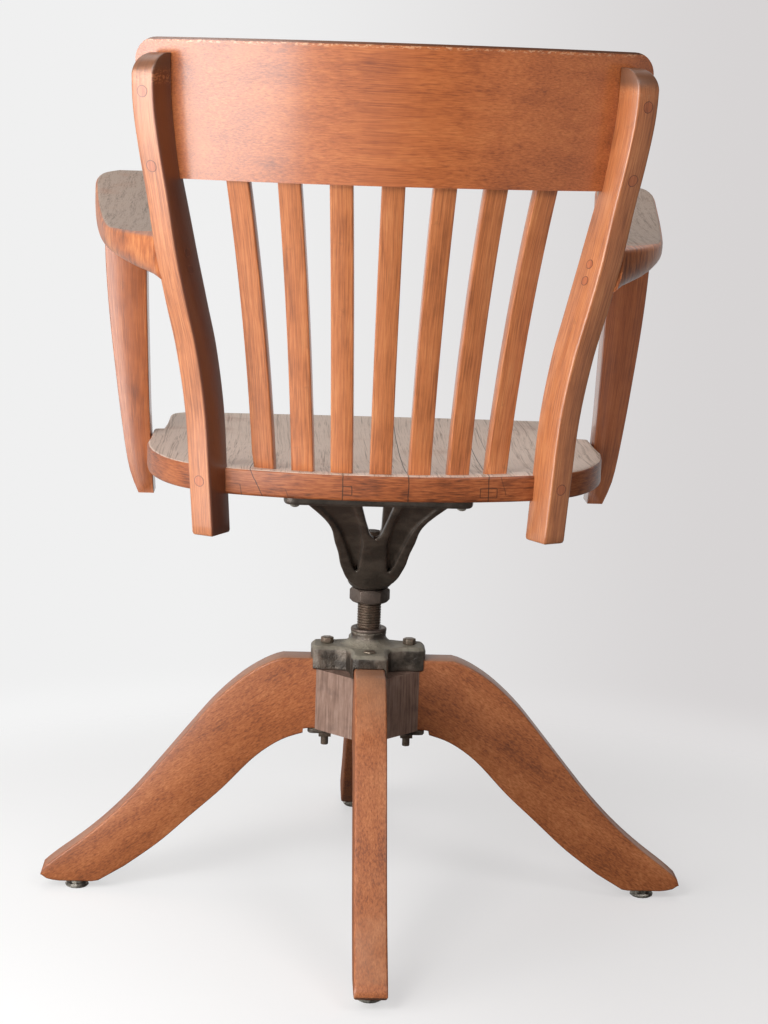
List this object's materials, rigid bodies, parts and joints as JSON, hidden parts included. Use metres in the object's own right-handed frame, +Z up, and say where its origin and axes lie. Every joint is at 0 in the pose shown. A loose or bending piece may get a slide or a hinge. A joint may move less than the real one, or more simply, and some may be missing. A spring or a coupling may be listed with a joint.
{
  "type": "bankers swivel chair",
  "caption": "Wooden bankers armchair on a low crossed base with a screw spindle: raked bent rail, slatted back, dished seat and cast seat iron.",
  "frame": {"origin": "on the floor, under the middle of the screw spindle", "axes": "+Z up, +Y towards the chair's back, +X towards the left of a viewer behind the chair"},
  "size_m": [0.686, 0.686, 0.891],
  "materials": {
    "varnished_wood": "worn satin varnish, reddish brown",
    "worn_wood": "varnish worn off, grey brown",
    "hub_wood": "dull, stained",
    "cast_iron": "dark, aged, lightly rusted",
    "rusty_steel": "rusty brown",
    "bright_steel": "dull worn steel"
  },
  "bodies": {
    "base": {"leg_left": "varnished_wood", "leg_rear": "varnished_wood", "leg_right": "varnished_wood", "leg_front": "varnished_wood", "glide_left": "bright_steel", "glide_rear": "bright_steel", "glide_right": "bright_steel", "glide_front": "bright_steel", "hub_bolt_left": "rusty_steel", "hub_bolt_rear": "rusty_steel", "hub_bolt_right": "rusty_steel", "hub_bolt_front": "rusty_steel", "hub_bolt_nut_left": "rusty_steel", "hub_bolt_nut_rear": "rusty_steel", "hub_bolt_nut_right": "rusty_steel", "hub_bolt_nut_front": "rusty_steel", "hub_block": "hub_wood", "hub_bottom_plate": "cast_iron", "hub_spider": "cast_iron"},
    "turning_bush": {"screw_bush": "rusty_steel"},
    "seat_and_back": {"screw_spindle": "rusty_steel", "screw_cross_pin": "rusty_steel", "lock_nut": "rusty_steel", "seat_iron": "cast_iron", "seat_screw_rear_left": "bright_steel", "seat_screw_rear_right": "bright_steel", "seat_screw_front_left": "bright_steel", "seat_screw_front_right": "bright_steel", "seat_board": "worn_wood", "top_rail": "varnished_wood", "back_slat_1": "varnished_wood", "back_slat_2": "varnished_wood", "back_slat_3": "varnished_wood", "back_slat_4": "varnished_wood", "back_slat_5": "varnished_wood", "back_slat_6": "varnished_wood", "back_slat_7": "varnished_wood", "rear_post_left": "varnished_wood", "rear_post_right": "varnished_wood", "arm_left": "worn_wood", "arm_right": "worn_wood", "arm_support_left": "varnished_wood", "arm_support_right": "varnished_wood", "post_plug_left_1": "varnished_wood", "post_plug_left_2": "varnished_wood", "post_plug_left_3": "varnished_wood", "post_plug_left_4": "varnished_wood", "post_plug_left_5": "varnished_wood", "post_plug_right_1": "varnished_wood", "post_plug_right_2": "varnished_wood", "post_plug_right_3": "varnished_wood", "post_plug_right_4": "varnished_wood", "post_plug_right_5": "varnished_wood"}
  },
  "joints": [
    {"name": "seat_swivel", "type": "hinge", "parent": "base", "child": "turning_bush", "pos_m": [0, 0, 0.25], "axis": [0, 0, 1], "continuous": true},
    {"name": "height_adjust", "type": "slide", "parent": "turning_bush", "child": "seat_and_back", "axis": [0, 0, 1], "range_m": [-0.022, 0.06]}
  ]
}
